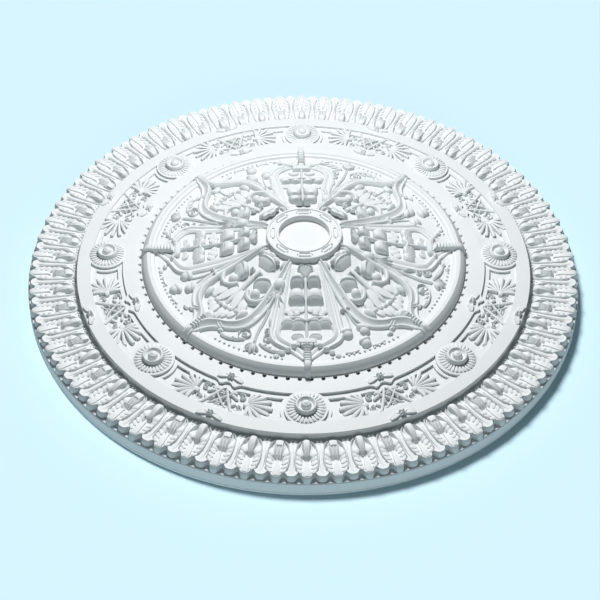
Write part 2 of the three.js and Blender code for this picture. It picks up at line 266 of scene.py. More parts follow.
def panel_outline(inner, outer, end):
    """The edge of a sunk panel: arcs inside and outside, ends that curve round the rosettes."""
    def reach(radius):
        squares = radius ** 2 + ROSETTE_CIRCLE ** 2 - end ** 2
        return SECTOR / 2 - math.acos(squares / (2 * radius * ROSETTE_CIRCLE))

    half = []
    for i in range(INNER_STEPS + 1):
        angle = reach(inner) * i / INNER_STEPS
        away = (angle * inner - PANEL_LOBE["offset"]) / PANEL_LOBE["half_width"]
        half.append((inner + PANEL_LOBE["rise"] * math.exp(-away * away), angle))
    for i in range(1, END_STEPS):
        radius = inner + (outer - inner) * i / END_STEPS
        half.append((radius, reach(radius)))
    for i in range(OUTER_STEPS + 1):
        half.append((outer, reach(outer) * (1 - i / OUTER_STEPS)))
    other = [(radius, -angle) for radius, angle in half[1:-1]]
    return half + other[::-1]


# Each ring of a pit is (radius, depth, inward), as the pit leans in under the foot of the dish.
PITS, PIT_CIRCLE, PIT_SIDES = 96, 449.2, 10
PIT_RINGS = ((5.6, 0.0, 0.0), (5.4, 14.0, 11.0), (3.0, 18.0, 14.0))
RIM_PROFILE = (
    (0, 0), (742, 0), (744.5, 4), (747.5, 7), (750, 16), (749, 17.5), (748.6, 30), (748, 47),
    (746, LEDGE_Z), (712, LEDGE_Z), (680, LEDGE_Z), (640, 47), (619, 46), (FRIEZE_RADIUS, 47.5),
    (FRIEZE_RADIUS, FRIEZE_Z - FRIEZE_EASE), (FRIEZE_RADIUS - FRIEZE_EASE, FRIEZE_Z),
)
DISH_EDGE = [
    (DISH_FOOT, FRIEZE_Z), (442.8, 64.5), (442, 64.5), (441.8, 70), (440, 76), (434, 84), (426.5, 90),
    (418, 90), (415.5, 86.2), (408, 85.2), (406.5, 80.5), (FIELD_RADIUS, FIELD_Z),
]
HUB_PROFILE = [
    (HUB_RADIUS, 145), (102, 148), (99, HUB_TOP_Z), (96.5, 148.4), (95.5, HUB_SINK_Z), (76, HUB_SINK_Z),
    (75, 148.4), (72.5, HUB_TOP_Z), (69, 148), (SEAT_RADIUS, 145.5), (SEAT_RADIUS, SEAT_Z + 1),
    (67, SEAT_Z), (0, SEAT_Z),
]
field = []
for i in range(1, FIELD_STEPS + 1):
    radius = FIELD_RADIUS + (HUB_RADIUS - FIELD_RADIUS) * i / FIELD_STEPS
    field.append((radius, field_height(radius)))
bm = bmesh.new()
turn_profile(bm, RIM_PROFILE)
turn_profile(bm, DISH_EDGE + field + HUB_PROFILE)

# The frieze is left open between the rim and the dish, and is filled round its pits and panels.
open_edges = [edge for edge in bm.edges if len(edge.link_faces) == 1]
frieze_edges = [edge for edge in open_edges if edge.verts[0].co.z > FRIEZE_Z - WELD_GAP]
for i in range(PITS):
    turn = 2 * math.pi * (i + 0.5) / PITS
    rings = []
    for radius, depth, inward in PIT_RINGS:
        middle = polar(PIT_CIRCLE - inward, turn, FRIEZE_Z - depth)
        rings.append([middle + polar(radius, 2 * math.pi * k / PIT_SIDES) for k in range(PIT_SIDES)])
    frieze_edges += sink(bm, rings)
for i in range(SECTORS):
    middle = SECTOR * (i + 0.5)
    outlines = []
    for step, z in ((0, FRIEZE_Z), (0, PANEL_TREAD_Z), (1, PANEL_TREAD_Z), (1, PANEL_FLOOR_Z)):
        outline = panel_outline(**PANEL_STEPS[step])
        outlines.append([polar(radius, middle + angle, z) for radius, angle in outline])
    frieze_edges += sink(bm, outlines)
bmesh.ops.triangle_fill(bm, edges=frieze_edges, use_beauty=True)
ground = cast(bm, "rose_ground", GROUND_CREASE)
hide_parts("ceiling_rose")

# The leaf border: sixty-four water leaves side by side, their bulbs plain and carved by turns, between
# arched bands and plain tongues, with tips that hang over the rim as a row of teeth. Like all the
# carving, it is foam cast in one with the ground, and each motif is let a little way into it.
LEAVES = 64
BORDER_RADIUS = 680.0
HALF_PITCH = math.pi * BORDER_RADIUS / LEAVES
CARVING_SINK = 5.0
BALL_SEAM = 0.05


def smoothed(route, count):
    """Points along a smooth curve through a route of (across, outward, height) points."""
    points = [Vector(point) for point in route]
    points = [2 * points[0] - points[1]] + points + [2 * points[-1] - points[-2]]
    line = []
    for i in range(count + 1):
        place = (len(points) - 3) * i / count
        k = min(int(place), len(points) - 4)
        t = place - k
        a, b, c, d = points[k:k + 4]
        bend = 2 * a - 5 * b + 4 * c - d
        line.append((2 * b + (c - a) * t + bend * t * t + (3 * b - a - 3 * c + d) * t ** 3) / 2)
    return line


def on_side(route, side):
    """A route on the right-hand side, 1, or its mirror image on the left, -1."""
    return [(side * across, outward, up) for across, outward, up in route]


def lobe(bm, start, heading, length, width, height, taper=0.0, curl=0.0, lift=(0.0, 0.0),
         groove=0.0, square=1.0, around=8, along=6):
    """A rounded leaf lobe: the upper half of a ball drawn out along a heading, in degrees from outward."""
    ball = bmesh.ops.create_uvsphere(bm, u_segments=around, v_segments=along, radius=1.0)["verts"]
    under = [vert for vert in ball if vert.co.y < -BALL_SEAM]
    upper = [vert for vert in ball if vert.co.y >= -BALL_SEAM]
    bmesh.ops.delete(bm, geom=under, context="VERTS")
    sine, cosine = math.sin(math.radians(heading)), math.cos(math.radians(heading))
    for vert in upper:
        x, y, z = [math.copysign(abs(part) ** square, part) for part in vert.co]
        t = (z + 1) / 2
        ahead = length * t
        side = x * width / 2 * (1 - taper * t) + curl * t * t
        up = lift[0] + (lift[1] - lift[0]) * t + height * max(y, 0.0)
        if y < 2 * BALL_SEAM:
            up -= CARVING_SINK
        elif abs(x) < BALL_SEAM:
            up -= groove * y
        vert.co = (start[0] + sine * ahead + cosine * side, start[1] + cosine * ahead - sine * side, up)


def strand(bm, route, width, height, ends=(1.0, 1.0), stations=12, sides=4):
    """A rounded moulding drawn along a route, closed down to the ground at both ends."""
    line = smoothed(route, stations)
    grid = bmesh.ops.create_grid(bm, x_segments=sides, y_segments=stations, size=1.0)["verts"]
    for vert in grid:
        i = round((vert.co.y + 1) / 2 * stations)
        ahead = (line[min(i + 1, stations)] - line[max(i - 1, 0)]).to_2d().normalized()
        share = ends[0] + (ends[1] - ends[0]) * i / stations
        turn = math.pi / 2 * vert.co.x
        side = width / 2 * share * math.sin(turn)
        up = height * share * math.cos(turn)
        if abs(vert.co.x) > 0.99 or i in (0, stations):
            up = -CARVING_SINK
        vert.co = line[i] + Vector((ahead.y * side, -ahead.x * side, up))


def wrap(bm, radius=None):
    """Bends a flat motif of (across, outward, height) points round the axis, true at a radius or at all."""
    for vert in bm.verts:
        vert.co = polar(vert.co.y, vert.co.x / (radius or vert.co.y), vert.co.z)


def ring(bm, count, first=0.0):
    """Turns a finished motif to its first place and spins copies of it round the rose."""
    bmesh.ops.rotate(bm, verts=bm.verts, cent=(0, 0, 0), matrix=Matrix.Rotation(first, 3, "Z"))
    step = 2 * math.pi / count
    bmesh.ops.spin(bm, geom=bm.verts[:] + bm.edges[:] + bm.faces[:], axis=(0, 0, 1), cent=(0, 0, 0),
                   dvec=(0, 0, 0), angle=step * (count - 1), steps=count - 1, use_duplicate=True)


def join(whole, bm):
    """Adds a finished ring of motifs to a piece that has two of them."""
    part = bpy.data.meshes.new("ring")
    bm.to_mesh(part)
    bm.free()
    whole.from_mesh(part)
    bpy.data.meshes.remove(part)


# The outer edge from the middle of a leaf's tooth to the middle of the tongue's, at equal steps.
TOOTH_EDGE = (747.5, 747, 746, 741, 733, 731, 734, 740, 743, 744, 744)
# The rows of the bed are shares of its length, and the rows of the tip are (short of the edge, fall).
BED_ROWS = (0, 0.05, 0.1, 0.16, 0.22, 0.29, 0.37, 0.45, 0.51, 0.56, 0.61, 0.7, 0.8, 0.9, 1)
TIP_ROWS = ((4.5, 2), (1.5, 9), (0, 24))
TIP_REACH = 6.0
BED_FOOT, BED_FOOT_Z, BED_RISE, BED_RISE_RUN = 617.0, 47.0, 11.0, 45.0
BROW_FOOT, BROW_RISE, BROW_RUN = 690.0, 10.0, 50.0
BESIDE_BULB = {"across": 18.0, "outward": 640.0, "half_width": 4.0, "half_length": 16.0, "depth": 9.0}
BELOW_BULB = {"across": 0.0, "outward": 684.0, "half_width": 11.0, "half_length": 8.0, "depth": 14.0}
ARCH = ((4, 625), (15, 630), (23.5, 646), (26.5, 680), (25, 708), (18, 731))
LEAFLETS, LEAFLET_SPACING = 5, 13.0
# The curls at the head of a tongue, as (across from its middle, outward).
BORDER_CURLS = ((5, 622), (0, 630))


def hollow(across, outward, sizes, power):
    """The depth of a soft-edged hollow at a place; a higher power gives it steeper walls."""
    aside = (abs(across) - sizes["across"]) / sizes["half_width"]
    along = (outward - sizes["outward"]) / sizes["half_length"]
    return sizes["depth"] * math.exp(-aside ** power - along ** power)


def bed_height(across, outward):
    """The ground of a leaf: it rises towards the tips and is hollowed beside the bulb and below it."""
    rise = BED_FOOT_Z + BED_RISE * min(1.0, (outward - BED_FOOT) / BED_RISE_RUN)
    rise += BROW_RISE * max(0.0, (outward - BROW_FOOT) / BROW_RUN)
    return rise - hollow(across, outward, BESIDE_BULB, 2) - hollow(across, outward, BELOW_BULB, 4)


def leaf_bed(bm):
    """The ground of one leaf and of half a tongue on either side, with the teeth at its edge."""
    half = len(TOOTH_EDGE) - 1
    rows = len(BED_ROWS) + len(TIP_ROWS) - 1
    for vert in bmesh.ops.create_grid(bm, x_segments=2 * half, y_segments=rows, size=1.0)["verts"]:
        column = round(vert.co.x * half)
        row = round((vert.co.y + 1) / 2 * rows)
        edge = TOOTH_EDGE[abs(column)]
        back, fall = TIP_ROWS[row - len(BED_ROWS)] if row >= len(BED_ROWS) else (TIP_REACH, 0.0)
        across = column / half * HALF_PITCH
        outward = BED_FOOT + (edge - back - BED_FOOT) * BED_ROWS[min(row, len(BED_ROWS) - 1)]
        vert.co = (across, outward, bed_height(across, min(outward, edge - TIP_REACH)) - fall)


def leaflet(bm, start, heading, length, **shape):
    """A lobe that follows the ground of the leaf from end to end."""
    turn = math.radians(heading)
    end = (start[0] + length * math.sin(turn), start[1] + length * math.cos(turn))
    lobe(bm, start, heading, length, lift=(bed_height(*start), bed_height(*end)), **shape)


def leaf(bm, carved):
    """One leaf of the border: bulb, stalk, leaflets, arched bands, tongues and the curls between them."""
    leaf_bed(bm)
    if carved:
        lobe(bm, (0, 627), 0, length=27, width=26, height=18, lift=(46, 51), groove=2, square=0.8)
        for across in (-8.5, 0, 8.5):
            lobe(bm, (across, 642), 0, length=45, width=11, height=17, lift=(50, 41), curl=-across * 0.4,
                 square=0.8)
    else:
        lobe(bm, (0, 626), 0, length=60, width=29, height=26, lift=(47, 36), taper=0.4, square=0.72,
             around=12, along=8)
    lobe(bm, (0, 688), 0, length=53, width=6, height=8, lift=(55, 65), taper=-3.2, square=0.65)
    for side in (-1, 1):
        for i in range(LEAFLETS):
            leaflet(bm, (side * (10 + i * 0.5), 729 - LEAFLET_SPACING * i), side * 140, length=22, width=11,
                    height=3, taper=0.3, curl=-side * 4, square=0.8)
        band = [(across, outward, bed_height(across, outward)) for across, outward in ARCH]
        strand(bm, on_side(band, side), width=5, height=6.5, stations=8)
        lobe(bm, (side * HALF_PITCH, 644), 0, length=91, width=8, height=1.6, lift=(57, 66), taper=-0.7)
        for across, outward in BORDER_CURLS:
            lobe(bm, (side * (HALF_PITCH - across), outward), 0, length=10, width=9, height=7,
                 lift=(45, 48))


border = bmesh.new()
for carved in (False, True):
    bm = bmesh.new()
    leaf(bm, carved)
    wrap(bm, BORDER_RADIUS)
    ring(bm, LEAVES // 2, 2 * math.pi / LEAVES * carved)
    join(border, bm)
cast(border, "leaf_border")

# The rosettes: eight turned buttons with a ring of petals, standing on the plain frieze
# between the panels, part of the same casting.
ROSETTE_PROFILE = (
    (0, 90), (4, 89.5), (6, 87.5), (8, 87.5), (10, 86), (12, 82.5), (13, 78), (15, 76.5), (17, 77),
    (19.5, 81), (22, 84), (24.5, 83.5), (26.5, 80), (27.3, 74), (26.8, 69), (40, 70), (47.5, 69.5),
    (50.5, 67.5),
)
ROSETTE_STEPS = 32
PETALS, PETAL_FOOT = 28, 26.0
bm = bmesh.new()
turn_profile(bm, ROSETTE_PROFILE, ROSETTE_STEPS)
for i in range(PETALS):
    heading = 360 / PETALS * i
    turn = math.radians(heading)
    lobe(bm, (PETAL_FOOT * math.sin(turn), PETAL_FOOT * math.cos(turn)), heading, length=22, width=5.2,
         height=3.6, lift=(70, 69.5), taper=-0.85, square=0.8)
bmesh.ops.translate(bm, vec=(0, -ROSETTE_CIRCLE, 0), verts=bm.verts)
ring(bm, SECTORS)
cast(bm, "rosettes")

# The panel carving: two palmettes that open towards the rosettes, tied at the middle with crossed
# ribbons, four small flowers and scrolls. It fills each sunk panel and is cast with its floor.
PALMETTE_LOBES = 9
PALMETTE_HEEL, PALMETTE_HEEL_HALF, PALMETTE_FAN = (68, 542), 6, 70
PALMETTE_SHORT, PALMETTE_GROWTH = 24, 41
PANEL_MIDDLE = 539.0
PANEL_CURL = {"reach": 12.5, "start": math.radians(-60), "step": 0.62, "shrink": 0.075, "count": 10}
RIBBON = ((43, 584, 64), (22, 546, 63), (2, 506, 63))
CROSSED_RIBBON = ((32, 512, 59), (14, 531, 62), (-12, 560, 62), (-26, 570, 59))
PANEL_FLOWERS = ((0, 525), (0, 560), (-20, 544), (20, 544))
PANEL_CARVING_DROP = 2.0


def boss(bm, across, outward, size, height, lift=0.0, width=None, **shape):
    """A boss on a middle point: round, or a bar across the motif where its width is given."""
    lobe(bm, (across - size / 2, outward), 90, size, width or size, height, lift=(lift, lift), **shape)


def flower(bm, across, outward, **petal):
    """Four petals set crosswise."""
    for heading in (45, 135, 225, 315):
        lobe(bm, (across, outward), heading, **petal)


def spiral(middle, flip, reach, start, step, shrink, count, up=0.0):
    """A route that winds in round a middle point, flipped across or outward by a -1."""
    route = []
    for i in range(count):
        turn, left = start + step * i, reach * (1 - shrink * i)
        across = middle[0] + flip[0] * left * math.sin(turn)
        route.append((across, middle[1] + flip[1] * left * math.cos(turn), up))
    return route


bm = bmesh.new()
for side in (-1, 1):
    for i in range(PALMETTE_LOBES):
        spread = (i / (PALMETTE_LOBES - 1) - 0.5) * 2
        start = (side * PALMETTE_HEEL[0], PALMETTE_HEEL[1] + spread * PALMETTE_HEEL_HALF)
        lobe(bm, start, side * (90 - PALMETTE_FAN * spread), width=5, height=9,
             length=PALMETTE_SHORT + PALMETTE_GROWTH * math.cos(spread * 1.3) ** 1.2,
             lift=(59, 58 + 6 * max(0.0, spread)), taper=-1.7, curl=-side * spread * 7, square=0.6)
    lobe(bm, (side * 58, 543), side * 90, length=18, width=14, height=8, lift=(59, 59), square=0.7)
    for out in (-1, 1):
        middle = (side * 49, PANEL_MIDDLE + out * 17)
        strand(bm, spiral(middle, (side, out), up=58, **PANEL_CURL), width=5, height=6, ends=(1.0, 0.8),
               stations=16)
        boss(bm, *middle, size=8, height=7, lift=58)
        lobe(bm, (side * 42, PANEL_MIDDLE + out * 6), side * (-90 + out * 35), length=24, width=9, height=6,
             lift=(58, 59), taper=0.3, curl=4 * side, square=0.7)
        lobe(bm, (side * 36, PANEL_MIDDLE + out * 23), side * (-90 + out * 8), length=24, width=8, height=6,
             lift=(58, 58), taper=0.4, square=0.7)
    strand(bm, on_side(RIBBON, side), width=8, height=5)
    strand(bm, on_side(CROSSED_RIBBON, side), width=6, height=5)
    lobe(bm, (side * 30, 573), side * 60, length=22, width=8, height=6, lift=(60, 62))
for across, outward in PANEL_FLOWERS:
    flower(bm, across, outward, length=9.5, width=8, height=7, lift=(60, 59))
bmesh.ops.translate(bm, vec=(0, 0, -PANEL_CARVING_DROP), verts=bm.verts)
wrap(bm, ROSETTE_CIRCLE)
ring(bm, SECTORS, SECTOR / 2)
cast(bm, "panel_carving")

# The bows: ribbon knots cast on the plain bands of the frieze at the middle of each panel,
# one outside it and one inside. Each has two loops, two tails and a knot of four folds.
BOW_CIRCLES = (602.0, 478.0)
bm = bmesh.new()
for circle in BOW_CIRCLES:
    for side in (-1, 1):
        lobe(bm, (side * 2, circle - 1), side * 80, length=36, width=15, height=10, lift=(67, 67),
             taper=-0.3, curl=-side * 4, groove=3)
        lobe(bm, (side * 2, circle + 4), side * 118, length=22, width=8, height=8, lift=(67, 67))
    flower(bm, 0, circle, length=10, width=9, height=13, lift=(69, 68))
wrap(bm)
ring(bm, SECTORS, SECTOR / 2)
cast(bm, "bows")

# The bead row: a string of fine beads cast on the dish just inside its rim,
# broken where the frames cross it.
FINE_BEADS, FINE_BEAD_CIRCLE, FINE_BEAD_RADIUS, FINE_BEAD_LIFT = 176, 396.0, 3.6, 1.5
FINE_BEAD_GAP = math.radians(8.0)
bm = bmesh.new()
for i in range(FINE_BEADS):
    angle = 2 * math.pi * (i + 0.5) / FINE_BEADS
    from_frame = abs((angle + SECTOR / 2) % SECTOR - SECTOR / 2)
    if from_frame > FINE_BEAD_GAP:
        middle = polar(FINE_BEAD_CIRCLE, angle + DISH_TURN, FIELD_Z + FINE_BEAD_LIFT)
        bmesh.ops.create_uvsphere(bm, u_segments=6, v_segments=4, radius=FINE_BEAD_RADIUS,
                                  matrix=Matrix.Translation(middle))
cast(bm, "bead_rows")

# The rib frames: eight frames of ribs, cast on the dish, that run from the hub, swell and draw in again.
# The wide ones close in a ribbed strap that folds over the edge of the dish, and the narrow ones meet
# at a ribbed clasp that does the same.
WIDE_STATIONS, NARROW_STATIONS = 56, 40
# Each route point is (across, outward, lift), and on the inner routes also the scale of the section.
WIDE_INNER = (
    (40, 96, 0, 0.8), (56, 152, 0, 1), (69, 205, 0, 1), (78, 240, 0, 1), (82, 288, 0, 1), (72, 318, 0, 1),
    (52, 338, 0, 1), (30, 352, 1, 1.1), (11, 370, 3, 1.1), (3, 390, 5, 1), (2, 412, 9, 0.7),
    (2, 425, 11, 0.6), (2, 435, 6, 0.4), (2, 440.5, -4, 0.4), (2, 443.5, -15, 0.4),
)
WIDE_OUTER = (
    (47, 96, 0), (70, 152, 0), (88, 205, 0), (98, 240, 0), (102, 290, 0), (93, 321, 0), (72, 344, 0),
    (50, 360, 0), (30, 378, 0), (19, 396, 1), (14, 414, 8), (11, 425, 10), (10, 436, 5),
    (10, 441.5, -5), (10, 444.5, -16),
)
NARROW_INNER = (
    (37, 96, 0, 0.6), (47, 152, 0, 0.7), (56, 205, 0, 0.8), (63, 250, 0, 0.9), (69, 288, 0, 1),
    (74, 310, 0, 1.1), (68, 330, 0, 1.1), (50, 345, 0, 1.1), (34, 354, 0, 0.9), (20, 367, 0, 0.7),
    (10, 382, 1, 0.6), (6, 392, 3, 0.6),
)
NARROW_OUTER = (
    (45, 96, 0), (58, 152, 0), (71, 205, 0), (81, 250, 0), (87, 288, 0), (91, 312, 0), (83, 338, 0),
    (62, 355, 0), (44, 365, 0), (28, 378, 0), (15, 391, 1), (10, 399, 3),
)
# Each point of a section is (share of the way from the inner route to the outer, height).
WIDE_SECTION = (
    (-0.45, -5), (-0.42, 4), (-0.28, 11), (-0.08, 15), (0.1, 15), (0.3, 11), (0.55, 5.5), (0.72, 4.5),
    (0.8, 7), (0.95, 8.5), (1.1, 7), (1.2, 1), (1.22, -5),
)
NARROW_SECTION = (
    (-0.5, -5), (-0.42, 4.5), (-0.1, 8.5), (0.2, 7.5), (0.45, 3), (0.62, 3), (0.8, 7), (1.1, 8),
    (1.38, 4), (1.5, -5),
)
WIDE_TIES = (
    ((26, 350, 15), (36, 357, 9), (53, 364, 7)),
    ((33, 345, 15), (42, 352, 9), (59, 358, 7)),
)
# The clasp's route is (radius, height), and its section is (share of its half width, fall).
CLASP_ROUTE = (
    (352, 88), (359, 95), (368, 97.5), (382, 98.5), (396, 98.5), (408, 99), (416, 100), (425, 100),
    (433, 96.5), (439, 89), (442.5, 80), (444.5, 72), (446, 62),
)
CLASP_SECTION = ((0.0, 0.0), (0.45, 0.0), (0.85, 2.0), (1.0, 24.0))
CLASP_HALF_WIDTH, CLASP_LIFT = 9.0, 2.0
CLASP_BEND_FROM, CLASP_BEND_RUN, CLASP_LEAN = 416.0, 20.0, 0.6
STRAP_RIBS, CLASP_RIBS, CROSS_RIB_SPACING = 6, 7, 8.5


def drape(bm):
    """Lays a flat motif of (across, outward, height) points on the dish."""
    for vert in bm.verts:
        across, outward, up = vert.co
        vert.co = (across, -outward, up + field_height(math.hypot(across, outward)))


def sheet(bm, columns, rows, place):
    """A patch of faces set out by a function of a place across it, -1 to 1, and along it, 0 to 1."""
    for vert in bmesh.ops.create_grid(bm, x_segments=columns, y_segments=rows, size=1.0)["verts"]:
        vert.co = place(vert.co.x, (vert.co.y + 1) / 2)


def moulding(bm, inner, outer, section, side, stations):
    """A rib of a shaped section, drawn along one route for its crest and one for its outer bead."""
    crest, bead = smoothed(inner, stations), smoothed(outer, stations)

    def place(s, t):
        i = round(t * stations)
        share, up = section[round((s + 1) / 2 * (len(section) - 1))]
        across, outward, lift = crest[i].to_3d().lerp(bead[i], share)
        return side * across, outward, lift + up * (crest[i].w if up > 0 else 1)

    sheet(bm, len(section) - 1, stations, place)


def clasp(s, t):
    """The band that carries a narrow frame over the rim of the dish; its sides lean in where it bends."""
    radius, z = CLASP_ROUTE[round(t * (len(CLASP_ROUTE) - 1))]
    share, fall = CLASP_SECTION[round(abs(s) * (len(CLASP_SECTION) - 1))]
    bend = min(1.0, max(0.0, (radius - CLASP_BEND_FROM) / CLASP_BEND_RUN))
    radius -= CLASP_LEAN * fall * bend
    across = math.copysign(share, s) * CLASP_HALF_WIDTH
    return across, radius, z + CLASP_LIFT - fall - field_height(radius)


frames = bmesh.new()
for wide in (False, True):
    bm = bmesh.new()
    for side in (-1, 1):
        if wide:
            moulding(bm, WIDE_INNER, WIDE_OUTER, WIDE_SECTION, side, WIDE_STATIONS)
            for tie in WIDE_TIES:
                strand(bm, on_side(tie, side), width=5, height=4)
        else:
            moulding(bm, NARROW_INNER, NARROW_OUTER, NARROW_SECTION, side, NARROW_STATIONS)
    if wide:
        for i in range(STRAP_RIBS):
            boss(bm, 0, 368 + CROSS_RIB_SPACING * i, size=18, width=6, height=8, lift=16)
    else:
        sheet(bm, 2 * (len(CLASP_SECTION) - 1), len(CLASP_ROUTE) - 1, clasp)
        for i in range(CLASP_RIBS):
            boss(bm, 0, 363 + CROSS_RIB_SPACING * i, size=21, width=5.5, height=6, lift=19)
    drape(bm)
    ring(bm, SECTORS // 2, SECTOR * wide + DISH_TURN)
    join(frames, bm)
cast(frames, "rib_frames")

# The husk carving: in the narrow frames, pairs of drooping husks hang from a spine below a heart, down
# to a dentilled crown and garlands of knobs. Each husk has a broad lip and falls away outward.
# It is cast on the dish with the frames.
HUSK_COLUMNS = 10
HUSK_ROUNDING = 3.4
HUSK_ARCH = 5.0
HUSK_SLIT, HUSK_OVERHANG = 0.05, 2.0
HUSK_DRAW_IN = 0.25
# Each row of a husk is (place from the crest, -1 at the end of the lip to 1 at the foot, share of height).
HUSK_ROWS = (
    (-1, -1), (-0.96, 0.4), (-0.82, 0.8), (-0.55, 0.97), (-0.2, 1), (0, 0.87), (0.04, 0.7), (0.08, 0.84),
    (0.25, 0.77), (0.45, 0.6), (0.65, 0.4), (0.82, 0.2), (0.95, 0.03), (1, -1),
)
HUSKS = (
    {"across": 22, "crest": 164, "width": 34, "height": 25, "lip": 19, "run": 18},
    {"across": 24, "crest": 214, "width": 40, "height": 23, "lip": 27, "run": 16},
    {"across": 20, "crest": 285, "width": 38, "height": 18, "lip": 17, "run": 19, "rounding": 2.2},
    {"across": 47, "crest": 284, "width": 36, "height": 18, "lip": 17, "run": 17, "rounding": 2.2},
    {"across": 23, "crest": 320, "width": 30, "height": 8, "lip": 8, "run": 13},
)
# Each ring of the heart is (share of its size, height), from its middle out and down to the dish.
HEART_RINGS = (
    (0, 3.5), (0.5, 3.5), (0.72, 3), (0.77, -1), (0.83, -1), (0.87, 3.5), (0.96, 3.5), (1, 1), (1.02, -16),
)
HEART_COLUMNS = 32
HEART_MIDDLE, HEART_TIP, HEART_WIDENING, HEART_LEAN = 138.0, 156.0, 1.3, 0.6
SPINE = ((0, 152, -2), (0, 166, 9), (0, 230, 5), (0, 290, 7), (0, 345, 4))
SWAG = (
    (-60, 287, 4), (-48, 278, 12), (-22, 277, 14), (0, 284, 13), (22, 277, 14), (48, 278, 12), (60, 287, 4),
)
# Low leaves between the husks, as (across, outward, size).
HUSK_LEAVES = ((14, 244, 22), (31, 243, 24), (47, 248, 20), (24, 253, 18), (40, 256, 18))
GARLAND_KNOBS = 4
DENTILS = 5


def husk(bm, across, crest, width, height, lip, run, heading=0.0, taper=0.0, rounding=HUSK_ROUNDING):
    """A drooping husk: an arched lip, a slit below it, a face that falls away along its heading."""
    sine, cosine = math.sin(math.radians(heading)), math.cos(math.radians(heading))

    def place(s, t):
        offset, share = HUSK_ROWS[round(t * (len(HUSK_ROWS) - 1))]
        side = math.sin(s * math.pi / 2)
        rounded = (1 - abs(side) ** rounding) ** (1 / rounding) if abs(s) < 0.99 else 0.0
        up = height * share * rounded if share > 0 and rounded else -CARVING_SINK
        half_width = width / 2 if offset > HUSK_SLIT else width / 2 + HUSK_OVERHANG
        narrowing = taper * max(0.0, offset) + HUSK_DRAW_IN * max(0.0, -offset)
        aside = half_width * side * (1 - narrowing)
        ahead = offset * (lip if offset < 0 else run)
        ahead += HUSK_ARCH * side * side * (1 - max(0.0, offset))
        return across + cosine * aside + sine * ahead, crest + cosine * ahead - sine * aside, up

    sheet(bm, HUSK_COLUMNS, len(HUSK_ROWS) - 1, place)


def heart(s, t):
    """A heart curve that leans on the hub, its lobes up and its tip outward."""
    turn = math.pi * s
    size, up = HEART_RINGS[round(t * (len(HEART_RINGS) - 1))]
    across = 16 * math.sin(turn) ** 3
    outward = 13 * math.cos(turn) - 5 * math.cos(2 * turn) - 2 * math.cos(3 * turn) - math.cos(4 * turn)
    outward = HEART_MIDDLE - size * outward
    return HEART_WIDENING * size * across, outward, up + HEART_LEAN * (HEART_TIP - outward)


def crown(bm, outward, half_width, height):
    """A block with a row of dentils on its outward face."""
    boss(bm, 0, outward - 9, size=2 * half_width, width=17, height=height, square=0.45, around=12, along=8)
    for i in range(DENTILS):
        across = 2 * half_width / DENTILS * (i - DENTILS // 2)
        lobe(bm, (across, outward - 8), 0, length=13, width=0.36 * half_width, height=height - 2,
             square=0.55)


bm = bmesh.new()
sheet(bm, HEART_COLUMNS, len(HEART_RINGS) - 1, heart)
strand(bm, SPINE, width=8, height=7, stations=20)
strand(bm, SWAG, width=7, height=5, stations=30)
for side in (-1, 1):
    for sizes in HUSKS:
        husk(bm, **{**sizes, "across": side * sizes["across"]})
    for across, outward, size in HUSK_LEAVES:
        boss(bm, side * across, outward, size=size, height=6, lift=1)
    for i in range(GARLAND_KNOBS):
        boss(bm, side * (33 + 15 * i), 357 + 9 * i, size=16, width=14, height=11 - i, lift=6 - 2 * i)
crown(bm, 353, half_width=27, height=15)
drape(bm)
ring(bm, SECTORS // 2, DISH_TURN)
cast(bm, "husk_carving")

# The scroll carving: in the wide frames, a calyx below the hub throws out a pair of cups, each with a
# ball in it, over a spray of folded leaves, berries and a closed bud. It is cast on the dish with the
# frames, and a few leaves of it run on outside them.
SCROLL_STEM = ((0, 166, 4), (0, 185, 6), (0, 235, 3), (0, 300, 0))
CUP_RIM = ((16, 229, 3), (29, 246, 4), (45, 253, 4), (61, 247, 4), (73, 231, 4), (76, 212, 3))
# The calyx's crest of leaves, as (across, outward, size).
CALYX_LEAVES = ((-19, 127, 24), (0, 122, 26), (19, 127, 24))
CUP_BERRIES = ((41, 181), (14, 181))
BUD_BERRIES = ((9, 304), (25, 302), (40, 297))
bm = bmesh.new()
strand(bm, SCROLL_STEM, width=12, height=6, stations=16, sides=6)
husk(bm, 0, crest=137, width=60, height=22, lip=11, run=22, taper=0.45)
for across, outward, size in CALYX_LEAVES:
    boss(bm, across, outward, size=size, width=17, height=9, lift=13)
for side in (-1, 1):
    lobe(bm, (side * 36, 104), side * 10, length=30, width=11, height=10, lift=(3, 2))
    husk(bm, side * 36, crest=194, width=46, height=25, lip=16, run=25, heading=side * 38)
    for across, outward in CUP_BERRIES:
        boss(bm, side * across, outward, size=16, height=8, lift=11)
        boss(bm, side * across, outward, size=8, height=5, lift=18)
    lobe(bm, (side * 40, 213), side * 4, length=28, width=28, height=17, around=12, along=8)
    strand(bm, on_side(CUP_RIM, side), width=14, height=11, stations=24, sides=6)
    lobe(bm, (side * 8, 236), side * 12, length=66, width=30, height=4, lift=(5, 3), curl=side * 5)
    lobe(bm, (side * 34, 252), side * 16, length=48, width=32, height=5, lift=(3, 2), curl=side * 6)
    lobe(bm, (side * 63, 276), -side * 8, length=38, width=21, height=15, lift=(2, 0), around=12)
    for across, outward in BUD_BERRIES:
        boss(bm, side * across, outward, size=16, height=12)
    for i in range(3):
        lobe(bm, (side * (9 + 17 * i), 306 - 4 * i), side * (4 - 14 * i), length=40 - 6 * i, width=22,
             height=5, lift=(3, 2))
        lobe(bm, (side * (30 + 15 * i), 357 + 6 * i), side * 75, length=19, width=14, height=11 - i,
             curl=side * 4)
husk(bm, 0, crest=352, width=28, height=14, lip=16, run=14)
drape(bm)
ring(bm, SECTORS // 2, SECTOR + DISH_TURN)
cast(bm, "scroll_carving")

